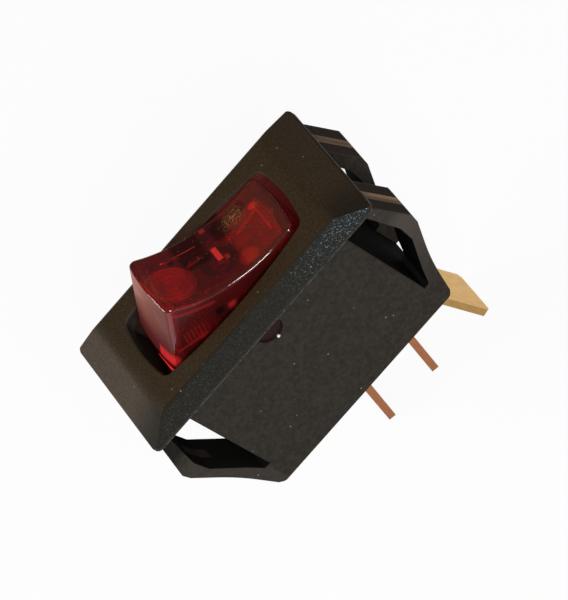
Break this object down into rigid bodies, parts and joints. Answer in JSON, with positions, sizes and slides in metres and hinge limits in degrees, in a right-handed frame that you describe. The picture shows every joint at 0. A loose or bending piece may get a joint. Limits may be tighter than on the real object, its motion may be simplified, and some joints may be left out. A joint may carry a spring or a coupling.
{
  "type": "panel rocker switch",
  "caption": "Illuminated snap-in rocker switch with a translucent red rocker, black rectangular bezel and housing, sprung end legs and blade tabs below.",
  "frame": {"origin": "centre of the panel cut-out, in the plane of the bezel's underside that seats on the panel", "axes": "+Z out of the panel through the rocker, +X along the bezel towards the pressed end of the rocker"},
  "size_m": [0.0342, 0.0172, 0.0363],
  "materials": {
    "housing": "fine textured black thermoplastic",
    "base": "plain black thermoplastic",
    "copper": "bare rolled copper",
    "brass": "bare rolled brass",
    "contact": "silver alloy rivet",
    "rocker": "polished translucent red",
    "plunger": "natural nylon",
    "spring": "spring wire",
    "lamp_glass": "clear glass",
    "lead": "tinned wire",
    "sleeve": "varnished insulating sleeve"
  },
  "bodies": {
    "switch_body": {"housing": "housing", "terminal_base": "base", "line_terminal": "copper", "load_terminal": "copper", "ground_terminal": "brass", "fixed_contact": "contact", "lamp_spring_load": "spring", "lamp_spring_ground": "spring"},
    "rocker_body": {"rocker": "rocker", "lamp_glass": "lamp_glass", "lamp_filament": "spring", "lamp_lead_load": "lead", "lamp_lead_ground": "lead", "lead_sleeve": "sleeve", "plunger_spring": "spring"},
    "plunger_body": {"plunger": "plunger"},
    "arm_body": {"contact_arm": "copper", "moving_contact": "contact"}
  },
  "joints": [
    {"name": "rocker_tilt", "type": "hinge", "parent": "switch_body", "child": "rocker_body", "pos_m": [0, 0, -0.00135], "axis": [0, -1, 0], "range_deg": [0, 40.8], "deforming": ["lamp_spring_load", "lamp_spring_ground"]},
    {"name": "contact_tilt", "type": "hinge", "parent": "switch_body", "child": "arm_body", "pos_m": [0, 0, -0.0114], "axis": [0, 1, 0], "range_deg": [0, 11.1]},
    {"name": "plunger_slide", "type": "slide", "parent": "rocker_body", "child": "plunger_body", "axis": [0.3486, 0, 0.9373], "range_m": [0, 0.001], "stiffness_N_per_m": 800, "springref_m": -0.0012, "deforming": ["plunger_spring"]}
  ],
  "couplings": [
    {"joint": "contact_tilt", "follows": "rocker_tilt", "ratio": 0.26961}
  ]
}
